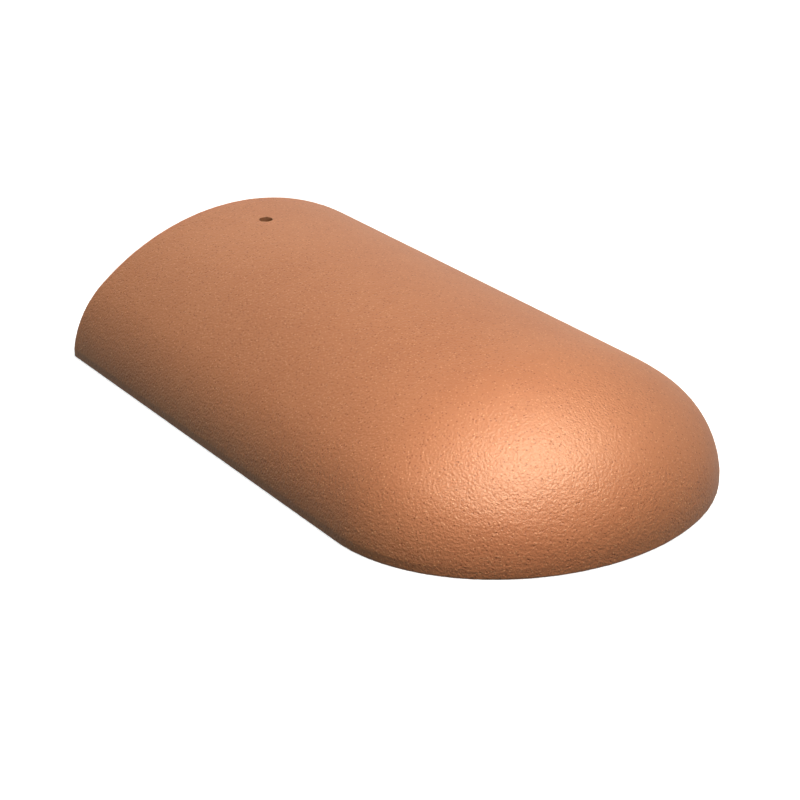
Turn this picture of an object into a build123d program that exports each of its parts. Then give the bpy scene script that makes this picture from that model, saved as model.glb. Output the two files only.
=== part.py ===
from build123d import *
import math
import os

# Closed-end hip tile: one piece of fired clay, pressed in a mould and pierced for one nail.
# A straight barrel is open at one end, and the other end closes in a rounded nose.
# X runs across the tile, Y along it towards the open end, Z up.
# The origin is on the floor, in the middle of the tile's length and width.

# Overall size
tile_length = 400.0
tile_width = 240.0
tile_height = 79.0
nose_length = 104.0

# Clay wall: a crown arc between two shoulder arcs, on a low upright foot
wall_thickness = 14.0
shoulder_radius = 62.0
foot_height = 6.0
foot_lean_angle = 9.0

# Nail hole through the crest
nail_hole_diameter = 8.0
nail_hole_from_open_end = 41.0

# Width of the worn arrises, and how far each cut runs past the clay
arris_width = 1.2
cut_overrun = 5.0

half_width = tile_width / 2
open_end_y = tile_length / 2
nose_start_y = nose_length - open_end_y
nail_hole_y = open_end_y - nail_hole_from_open_end

# Each shoulder arc leaves the foot at its lean, and the crown arc joins both without a kink
foot_lean = math.radians(foot_lean_angle)
shoulder_x = half_width - shoulder_radius * math.cos(foot_lean)
shoulder_z = foot_height - shoulder_radius * math.sin(foot_lean)
crest_rise = tile_height - shoulder_z
crown_radius = (shoulder_x**2 + crest_rise**2 - shoulder_radius**2) / (2 * (crest_rise - shoulder_radius))
crown_z = tile_height - crown_radius
crown_angle = math.degrees(math.atan2(shoulder_z - crown_z, shoulder_x))


def arch_arcs(inset):
    """The arch's arcs from the right foot over the crest to the left: centre, radius, start and end angle."""
    shoulder = shoulder_radius - inset
    foot_angle = math.degrees(math.asin((foot_height - shoulder_z) / shoulder))
    return [
        ((shoulder_x, shoulder_z), shoulder, foot_angle, crown_angle),
        ((0, crown_z), crown_radius - inset, crown_angle, 180 - crown_angle),
        ((-shoulder_x, shoulder_z), shoulder, 180 - crown_angle, 180 - foot_angle),
    ]


def arc_point(centre, radius, angle):
    """The point of a section at a radius and an angle from an arc's centre."""
    turn = math.radians(angle)
    return (centre[0] + radius * math.cos(turn), centre[1] + radius * math.sin(turn))


def section_face(inset, floor_z):
    """The whole section inside the arch, with its feet running down to floor_z."""
    arcs = arch_arcs(inset)
    foot_x = arc_point(*arcs[0][:3])[0]
    outline = [CenterArc(centre, radius, start, end - start) for centre, radius, start, end in arcs]
    left_foot = [(-foot_x, foot_height), (-foot_x, floor_z)]
    right_foot = [(foot_x, floor_z), (foot_x, foot_height)]
    outline.append(Polyline(left_foot + right_foot))
    return make_face(outline)


def shrinking_face(points, weights, tips):
    """The nose face that an edge of the section sweeps as it shrinks along a quarter ellipse.

    A rational quadratic both ways gives the section's arcs and the ellipse exactly. Each row of
    control points starts on the section, goes level to the tip's place along Y and ends at its tip.
    """
    ellipse_weights = (1, math.cos(math.pi / 4), 1)
    rows = [[(x, nose_start_y, z), (x, tip[1], z), tip] for (x, z), tip in zip(points, tips)]
    row_weights = [[weight * ellipse_weight for ellipse_weight in ellipse_weights] for weight in weights]
    return Face.make_bezier_surface(rows, row_weights)


def nose_solid(inset, floor_z):
    """The nose filled solid: the section shrinks about the level of the foot's top until it closes."""
    inset_length = nose_length - inset
    foot_tip = (0, nose_start_y - inset_length, foot_height)
    floor_tip = (0, nose_start_y - inset_length, floor_z)
    arcs = arch_arcs(inset)
    foot_x = arc_point(*arcs[0][:3])[0]

    faces = [Plane.XZ.offset(-nose_start_y) * section_face(inset, floor_z)]
    for centre, radius, start, end in arcs:
        middle_weight = math.cos(math.radians(end - start) / 2)
        corner = arc_point(centre, radius / middle_weight, (start + end) / 2)
        points = [arc_point(centre, radius, start), corner, arc_point(centre, radius, end)]
        faces.append(shrinking_face(points, [1, middle_weight, 1], [foot_tip, foot_tip, foot_tip]))
    for side_x in (-foot_x, foot_x):
        foot_edge = [(side_x, foot_height), (side_x, floor_z)]
        faces.append(shrinking_face(foot_edge, [1, 1], [foot_tip, floor_tip]))
    plan_curve = EllipticalCenterArc((0, nose_start_y), foot_x, inset_length, start_angle=180, arc_size=180)
    plan_chord = Line((foot_x, nose_start_y), (-foot_x, nose_start_y))
    faces.append(Pos(0, 0, floor_z) * make_face([plan_curve, plan_chord]))
    return Solid(Shell([piece for face in faces for piece in face.faces()]))


def filled_tile(inset, floor_z, end_y):
    """The barrel and the nose as one filled shape, inset from the tile's outer skin."""
    barrel = extrude(Plane.XZ.offset(-end_y) * section_face(inset, floor_z), end_y - nose_start_y)
    return barrel + nose_solid(inset, floor_z)


def hip_tile():
    """The tile: its filled shape less the hollow and the nail hole, with worn floor and open-end edges."""
    hollow = filled_tile(wall_thickness, -cut_overrun, open_end_y + cut_overrun)
    tile = filled_tile(0, 0, open_end_y) - hollow
    floor_edges = tile.edges().group_by(Axis.Z)[0]
    end_edges = tile.edges().group_by(Axis.Y)[-1]
    worn_edges = floor_edges + [edge for edge in end_edges if edge not in floor_edges]
    tile = chamfer(worn_edges, arris_width)
    nail_hole = extrude(Pos(0, nail_hole_y) * Circle(nail_hole_diameter / 2), tile_height + cut_overrun)
    return tile - nail_hole


os.makedirs("parts", exist_ok=True)
export_step(hip_tile(), "parts/hip_tile.step")
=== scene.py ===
import math

import bmesh
import bpy
from mathutils import Matrix, Vector


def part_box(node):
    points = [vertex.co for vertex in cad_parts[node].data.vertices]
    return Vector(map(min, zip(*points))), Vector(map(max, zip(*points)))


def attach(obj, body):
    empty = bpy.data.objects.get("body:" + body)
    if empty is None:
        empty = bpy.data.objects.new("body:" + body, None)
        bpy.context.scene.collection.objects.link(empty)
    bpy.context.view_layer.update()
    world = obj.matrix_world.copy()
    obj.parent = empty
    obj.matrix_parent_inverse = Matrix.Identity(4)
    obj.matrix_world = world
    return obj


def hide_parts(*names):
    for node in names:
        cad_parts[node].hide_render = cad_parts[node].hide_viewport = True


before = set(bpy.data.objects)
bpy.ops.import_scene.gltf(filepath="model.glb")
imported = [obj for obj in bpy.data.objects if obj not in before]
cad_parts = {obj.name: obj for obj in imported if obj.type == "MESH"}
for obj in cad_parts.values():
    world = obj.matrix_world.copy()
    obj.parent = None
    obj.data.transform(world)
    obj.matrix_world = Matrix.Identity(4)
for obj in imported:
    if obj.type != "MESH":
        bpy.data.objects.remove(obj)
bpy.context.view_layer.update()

# Hip tile
# One piece of red clay, pressed in a mould: a straight barrel, open at one end and closed in a rounded nose.
# The nail hole is pierced while the clay is soft. Sand from the mould leaves a granular skin, and firing sets it.
tile_low, tile_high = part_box("hip_tile")
half_width = tile_high.x
crest_z = tile_high.z
open_end_y = tile_high.y
nose_tip_y = tile_low.y
nose_reach = 0.104
nose_start_y = nose_tip_y + nose_reach
barrel_length = open_end_y - nose_start_y
wall = 0.014
shoulder_radius = 0.062
foot_height = 0.006
foot_lean = math.radians(9)
arris = 0.0012

# Each shoulder arc leaves the foot at its lean, and the crown arc joins both without a kink
shoulder_x = half_width - shoulder_radius * math.cos(foot_lean)
shoulder_z = foot_height - shoulder_radius * math.sin(foot_lean)
crest_rise = crest_z - shoulder_z
crown_radius = (shoulder_x**2 + crest_rise**2 - shoulder_radius**2) / (2 * (crest_rise - shoulder_radius))
crown_z = crest_z - crown_radius
crown_angle = math.atan2(shoulder_z - crown_z, shoulder_x)

# How finely the section is divided, and how near two places count as one
shoulder_steps = 54
crown_steps = 132
foot_rows = 3
same_place = 1e-5
tip_weld = 0.0007


def corners_of(geometry):
    """The vertices among an operator's results."""
    return [item for item in geometry if isinstance(item, bmesh.types.BMVert)]


def edges_of(geometry):
    """The edges among an operator's results."""
    return [item for item in geometry if isinstance(item, bmesh.types.BMEdge)]


def press_skin(inset, barrel_rows, nose_rows):
    """One face of the clay wall, set in from the mould's face, open at its end and along its rim."""
    skin = bmesh.new()
    shoulder = shoulder_radius - inset
    foot_angle = math.asin((foot_height - shoulder_z) / shoulder)
    foot_x = shoulder_x + shoulder * math.cos(foot_angle)

    # The section where the nose starts: shoulder, crown and shoulder, then down both feet
    arcs = [
        ((shoulder_x, nose_start_y, shoulder_z), crown_angle - foot_angle, shoulder_steps),
        ((0, nose_start_y, crown_z), math.pi - 2 * crown_angle, crown_steps),
        ((-shoulder_x, nose_start_y, shoulder_z), crown_angle - foot_angle, shoulder_steps),
    ]
    point = [skin.verts.new((foot_x, nose_start_y, foot_height))]
    for centre, angle, steps in arcs:
        arc = bmesh.ops.spin(skin, geom=point, cent=centre, axis=(0, -1, 0), angle=angle, steps=steps)
        point = arc["geom_last"]
    feet = [corner for corner in skin.verts if len(corner.link_edges) == 1]
    for row in range(foot_rows):
        feet = bmesh.ops.extrude_vert_indiv(skin, verts=feet)["verts"]
        bmesh.ops.translate(skin, vec=(0, 0, -foot_height / foot_rows), verts=feet)
    section = list(skin.edges)

    # The nose: the section shrinks about the top of the foot, along a quarter ellipse
    about_foot = Matrix.Translation((0, 0, -foot_height))
    nose_length = nose_start_y - nose_tip_y - inset
    nose_corners = []
    edges, size, reach = section, 1.0, 0.0
    for row in range(1, nose_rows + 1):
        turn = math.pi / 2 * row / nose_rows
        ring = bmesh.ops.extrude_edge_only(skin, edges=edges)["geom"]
        edges, corners = edges_of(ring), corners_of(ring)
        arch = [corner for corner in corners if corner.co.z > foot_height - same_place]
        foot = [corner for corner in corners if corner.co.z <= foot_height - same_place]
        shrink = math.cos(turn) / size
        advance = nose_length * math.sin(turn) - reach
        bmesh.ops.scale(skin, vec=(shrink, 1, shrink), space=about_foot, verts=arch)
        bmesh.ops.scale(skin, vec=(shrink, 1, 1), verts=foot)
        bmesh.ops.translate(skin, vec=(0, -advance, 0), verts=corners)
        size, reach = size * shrink, reach + advance
        nose_corners += corners
    bmesh.ops.remove_doubles(skin, verts=nose_corners, dist=tip_weld)

    # The barrel: the section drawn straight out to the open end
    drawn = corners_of(bmesh.ops.extrude_edge_only(skin, edges=section)["geom"])
    bmesh.ops.translate(skin, vec=(0, barrel_length, 0), verts=drawn)
    lengthways = [edge for edge in skin.edges if edge.calc_length() > barrel_length / 2]
    bmesh.ops.subdivide_edges(skin, edges=lengthways, cuts=barrel_rows - 1, use_grid_fill=True)
    return skin


def open_edges(clay, axis, place):
    """The open edges of both skins that lie at a place along an axis."""
    loose = [edge for edge in clay.edges if edge.is_boundary]
    return [edge for edge in loose if all(abs(corner.co[axis] - place) < same_place for corner in edge.verts)]


clay = press_skin(inset=0, barrel_rows=180, nose_rows=92)
hollow = press_skin(inset=wall, barrel_rows=48, nose_rows=32)
hollow_mesh = bpy.data.meshes.new("hollow")
hollow.to_mesh(hollow_mesh)
hollow.free()
clay.from_mesh(hollow_mesh)
bpy.data.meshes.remove(hollow_mesh)

# Both skins are joined round the open end and under the rim, and the arrises there are worn
end_edges = open_edges(clay, axis=1, place=open_end_y)
rim_edges = open_edges(clay, axis=2, place=0)
bmesh.ops.bridge_loops(clay, edges=end_edges)
bmesh.ops.bridge_loops(clay, edges=rim_edges)
bmesh.ops.recalc_face_normals(clay, faces=clay.faces)
bmesh.ops.bevel(
    clay, geom=end_edges + rim_edges, offset=arris, affect="EDGES", segments=3, profile=0.5, material=-1,
    clamp_overlap=True,
)
clay_mesh = bpy.data.meshes.new("hip_tile_clay")
clay.to_mesh(clay_mesh)
clay.free()
hip_tile = bpy.data.objects.new("hip_tile_clay", clay_mesh)
bpy.context.collection.objects.link(hip_tile)

# The nail punch comes up through the crest and leaves the mouth of its hole a little open
nail_from_end = 0.041
nail_y = open_end_y - nail_from_end
nail_radius = 0.004
punch_start_z = 0.05
mouth_depth = 0.0006
mouth_rise, mouth_flare = 0.0008, 0.0003
punch_overrun = 0.01
punch_profile = [
    (0, crest_z - mouth_depth - punch_start_z),
    (mouth_flare, mouth_rise),
    (0, punch_overrun),
]
punch = bmesh.new()
punch_point = [punch.verts.new((nail_radius, nail_y, punch_start_z))]
for outward, upward in punch_profile:
    punch_point = bmesh.ops.extrude_vert_indiv(punch, verts=punch_point)["verts"]
    bmesh.ops.translate(punch, vec=(outward, 0, upward), verts=punch_point)
bmesh.ops.spin(
    punch, geom=punch.verts[:] + punch.edges[:], cent=(0, nail_y, 0), axis=(0, 0, 1), angle=2 * math.pi, steps=48,
    use_merge=True,
)
bmesh.ops.holes_fill(punch, edges=[edge for edge in punch.edges if edge.is_boundary], sides=0)
bmesh.ops.recalc_face_normals(punch, faces=punch.faces)
punch_mesh = bpy.data.meshes.new("nail_punch")
punch.to_mesh(punch_mesh)
punch.free()
nail_punch = bpy.data.objects.new("nail_punch", punch_mesh)
bpy.context.collection.objects.link(nail_punch)
pierce = hip_tile.modifiers.new("nail_hole", "BOOLEAN")
pierce.operation = "DIFFERENCE"
pierce.solver = "EXACT"
pierce.object = nail_punch
pierced = hip_tile.evaluated_get(bpy.context.evaluated_depsgraph_get())
tile_mesh = bpy.data.meshes.new_from_object(pierced)
hip_tile.modifiers.clear()
hip_tile.data = tile_mesh
bpy.data.meshes.remove(clay_mesh)
bpy.data.meshes.remove(punch_mesh)

# The skin is smooth, but for its sharp edges, the mouth of the nail hole and a crisp crease above the foot
sharp_bend = 40
crease_bend = 1
clay = bmesh.new()
clay.from_mesh(tile_mesh)
for face in clay.faces:
    face.smooth = True
for edge in clay.edges:
    along_foot = all(abs(corner.co.z - foot_height) < same_place for corner in edge.verts)
    bend = math.degrees(edge.calc_face_angle(0))
    edge.smooth = not (bend > sharp_bend or (along_foot and bend > crease_bend))
clay.to_mesh(tile_mesh)
clay.free()

# The skin is a little uneven, cut into the mould's face and never standing proud of it
uneven = bpy.data.textures.new("uneven_skin", "CLOUDS")
uneven.noise_scale = 0.0022
uneven.noise_depth = 1
skin_relief = hip_tile.modifiers.new("uneven_skin", "DISPLACE")
skin_relief.texture = uneven
skin_relief.texture_coords = "LOCAL"
skin_relief.strength = 0.00026
skin_relief.mid_level = 1.0

# Fired clay: a warm red body with firing flushes, pale sand grains, small dark pits and a grainy, matte face, with
# painted shade darkening the bore of the nail hole
body_colour = (0.475, 0.186, 0.085, 1)
flush_colour = (0.515, 0.212, 0.10, 1)
sand_colour = (0.66, 0.33, 0.17, 1)
pit_colour = (0.26, 0.075, 0.03, 1)
# The bore colour and the bore amount below paint shade inside the nail hole
bore_painted_shade_colour = (0.07, 0.03, 0.01, 1)
pit_shade, bore_painted_shade_amount = 0.85, 0.6
sand_height, pit_depth = 0.15, 0.2
smoothest, roughest = 0.50, 0.56
clay_material = bpy.data.materials.new("fired_clay")
clay_material.use_nodes = True
nodes, links = clay_material.node_tree.nodes, clay_material.node_tree.links
shader = nodes["Principled BSDF"]
place = nodes.new("ShaderNodeTexCoord")


def spread(value, start, end, low, high):
    """A value from start to end, spread over low to high."""
    spread_node = nodes.new("ShaderNodeMapRange")
    links.new(value, spread_node.inputs["Value"])
    for name, number in (("From Min", start), ("From Max", end), ("To Min", low), ("To Max", high)):
        spread_node.inputs[name].default_value = number
    return spread_node.outputs["Result"]


def combine(operation, first, second):
    """Two values added, multiplied or the like."""
    sum_node = nodes.new("ShaderNodeMath")
    sum_node.operation = operation
    for socket, value in zip(sum_node.inputs, (first, second)):
        if isinstance(value, (int, float)):
            socket.default_value = value
        else:
            links.new(value, socket)
    return sum_node.outputs["Value"]


def tint(amount, under, over):
    """One colour laid over another by an amount."""
    mix = nodes.new("ShaderNodeMix")
    mix.data_type = "RGBA"
    links.new(amount, mix.inputs["Factor"])
    for socket, colour in ((mix.inputs["A"], under), (mix.inputs["B"], over)):
        if isinstance(colour, tuple):
            socket.default_value = colour
        else:
            links.new(colour, socket)
    return mix.outputs["Result"]


def clay_noise(waves, detail):
    """Cloudy noise over the clay, at a number of waves to the metre."""
    noise = nodes.new("ShaderNodeTexNoise")
    noise.inputs["Scale"].default_value = waves
    noise.inputs["Detail"].default_value = detail
    links.new(place.outputs["Object"], noise.inputs["Vector"])
    return noise.outputs["Fac"]


def scatter(cells, core, rim, none_at, all_at):
    """Grains at a number of cells to the metre, solid out to core and gone at rim, where a chance value is high."""
    voronoi = nodes.new("ShaderNodeTexVoronoi")
    voronoi.inputs["Scale"].default_value = cells
    links.new(place.outputs["Object"], voronoi.inputs["Vector"])
    within = spread(voronoi.outputs["Distance"], core, rim, 1, 0)
    chosen = spread(voronoi.outputs["Color"], none_at, all_at, 0, 1)
    return combine("MULTIPLY", within, chosen)


grain = clay_noise(waves=700, detail=2)
sand = scatter(cells=700, core=0.12, rim=0.40, none_at=0.58, all_at=0.66)
pits = scatter(cells=560, core=0.10, rim=0.38, none_at=0.54, all_at=0.62)
mottle = spread(clay_noise(waves=75, detail=2), 0, 1, -0.2, 0.2)
flush = spread(combine("ADD", clay_noise(waves=11, detail=3), mottle), 0.3, 0.7, 0, 1)

# The bore of the nail hole is found by its distance from the nail in plan, and fades out at its mouth. There the
# colour is darkened as painted shade, standing in for the shade inside the hole
bore_inside, bore_outside = nail_radius + 0.0001, nail_radius + 0.0005
plan = nodes.new("ShaderNodeVectorMath")
plan.operation = "MULTIPLY"
plan.inputs[1].default_value = (1, 1, 0)
links.new(place.outputs["Object"], plan.inputs[0])
from_nail = nodes.new("ShaderNodeVectorMath")
from_nail.operation = "DISTANCE"
from_nail.inputs[1].default_value = (0, nail_y, 0)
links.new(plan.outputs["Vector"], from_nail.inputs[0])
bore_painted_shade_mask = spread(from_nail.outputs["Value"], bore_inside, bore_outside, 1, 0)

colour = tint(flush, body_colour, flush_colour)
colour = tint(sand, colour, sand_colour)
colour = tint(combine("MULTIPLY", pits, pit_shade), colour, pit_colour)
# Painted shade: the bore of the nail hole is darkened in colour
colour = tint(combine("MULTIPLY", bore_painted_shade_mask, bore_painted_shade_amount), colour, bore_painted_shade_colour)
links.new(colour, shader.inputs["Base Color"])
links.new(spread(grain, 0.3, 0.7, smoothest, roughest), shader.inputs["Roughness"])
shader.inputs["IOR"].default_value = 1.5
shader.inputs["Specular IOR Level"].default_value = 0.25

relief = combine("SUBTRACT", combine("MULTIPLY", sand, sand_height), combine("MULTIPLY", pits, pit_depth))
bump = nodes.new("ShaderNodeBump")
bump.inputs["Strength"].default_value = 1.0
bump.inputs["Distance"].default_value = 0.0005
links.new(combine("ADD", grain, relief), bump.inputs["Height"])
links.new(bump.outputs["Normal"], shader.inputs["Normal"])

hip_tile.data.materials.clear()
hip_tile.data.materials.append(clay_material)
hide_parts("hip_tile")
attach(hip_tile, "root")

# Studio floor
# A plain pale sheet of paper under the tile. It is white where it is looked at, and keeps the tile's soft shadow,
# but it throws little light back at the tile.
sheet_half_size = 1.8
paper_as_light = (0.07, 0.08, 0.085, 1)
paper_to_camera = (0.6, 0.6, 0.6, 1)
paper_glow = 0.76
sheet = bmesh.new()
bmesh.ops.create_grid(sheet, x_segments=1, y_segments=1, size=sheet_half_size)
sheet_mesh = bpy.data.meshes.new("floor")
sheet.to_mesh(sheet_mesh)
sheet.free()
floor = bpy.data.objects.new("floor", sheet_mesh)
bpy.context.collection.objects.link(floor)
floor_material = bpy.data.materials.new("floor_paper")
floor_material.use_nodes = True
nodes, links = floor_material.node_tree.nodes, floor_material.node_tree.links
nodes.clear()


def looked_at():
    """1 where the studio is looked at, by the camera, in gloss or through glass, and 0 where it only gives light."""
    path = nodes.new("ShaderNodeLightPath")
    seen = combine("ADD", path.outputs["Is Camera Ray"], path.outputs["Is Glossy Ray"])
    return combine("ADD", seen, path.outputs["Is Transmission Ray"])


path = nodes.new("ShaderNodeLightPath")
paper = nodes.new("ShaderNodeBsdfDiffuse")
links.new(tint(path.outputs["Is Camera Ray"], paper_as_light, paper_to_camera), paper.inputs["Color"])
glow = nodes.new("ShaderNodeEmission")
links.new(combine("MULTIPLY", looked_at(), paper_glow), glow.inputs["Strength"])
both = nodes.new("ShaderNodeAddShader")
links.new(paper.outputs["BSDF"], both.inputs[0])
links.new(glow.outputs["Emission"], both.inputs[1])
output = nodes.new("ShaderNodeOutputMaterial")
links.new(both.outputs["Shader"], output.inputs["Surface"])
floor.data.materials.append(floor_material)

# Studio light
# A soft box above and in front of the nose, with a second one in its place that shows only in gloss, a small warm
# one close to the nose, one behind for the open end, and a weak cool fill all round.
key_place, key_aim, key_size = (-0.05, -0.83, 2.05), (0, -0.05, 0.05), (0.65, 0.65)
fill_colour, fill_strength = (0.4, 0.93, 1, 1), 0.15
white = (1, 1, 1, 1)


def soft_box(name, place, aim, size, power, colour):
    """A rectangular lamp at a place, turned towards its aim."""
    lamp = bpy.data.lights.new(name, "AREA")
    lamp.shape = "RECTANGLE"
    lamp.size, lamp.size_y = size
    lamp.energy = power
    lamp.color = colour
    box = bpy.data.objects.new(name, lamp)
    towards = (Vector(aim) - Vector(place)).to_track_quat("-Z", "Y")
    box.matrix_world = Matrix.Translation(place) @ towards.to_matrix().to_4x4()
    box.visible_camera = False
    bpy.context.collection.objects.link(box)
    return box


soft_box("key_light", key_place, key_aim, key_size, power=42, colour=(1, 0.82, 0.67))
gloss_light = soft_box("gloss_light", key_place, key_aim, key_size, power=300, colour=(1, 0.83, 0.57))
gloss_light.visible_diffuse = False
soft_box(
    "nose_light", place=(-0.09, -0.215, 0.155), aim=(-0.05, -0.16, 0.05), size=(0.09, 0.06), power=0.105,
    colour=(1, 0.66, 0.53),
)
open_end_light = soft_box(
    "open_end_light", place=(0.35, 1.5, 0.5), aim=(0, 0.2, 0.04), size=(0.8, 0.5), power=9, colour=(1, 0.92, 0.84),
)
open_end_light.visible_glossy = False

world = bpy.data.worlds.new("studio")
world.use_nodes = True
bpy.context.scene.world = world
nodes, links = world.node_tree.nodes, world.node_tree.links
surround = nodes["Background"]
links.new(tint(looked_at(), fill_colour, white), surround.inputs["Color"])
links.new(spread(looked_at(), 0, 1, fill_strength, 1), surround.inputs["Strength"])

# Camera
# It stands to the left of the nose and looks down on the tile, as in the photograph.
# The tile's middle lies a little right of the picture's middle and above it.
azimuth, elevation, distance = math.radians(-35.614), math.radians(25.136), 1.1745
tile_middle = Vector((0, 0, 0.0395))
aim_left, aim_down = 0.007774, 0.02376
level = math.cos(elevation)
back = Vector((math.sin(azimuth) * level, -math.cos(azimuth) * level, math.sin(elevation)))
right = Vector((math.cos(azimuth), math.sin(azimuth), 0))
up = back.cross(right)
aim = tile_middle - aim_left * right - aim_down * up
lens = bpy.data.cameras.new("camera")
lens.lens = 90.68
lens.sensor_width = 36
camera = bpy.data.objects.new("camera", lens)
turn = Matrix((right, up, back)).transposed().to_4x4()
camera.matrix_world = Matrix.Translation(aim + distance * back) @ turn
bpy.context.collection.objects.link(camera)
bpy.context.scene.camera = camera

bpy.context.scene.view_settings.view_transform = "Standard"
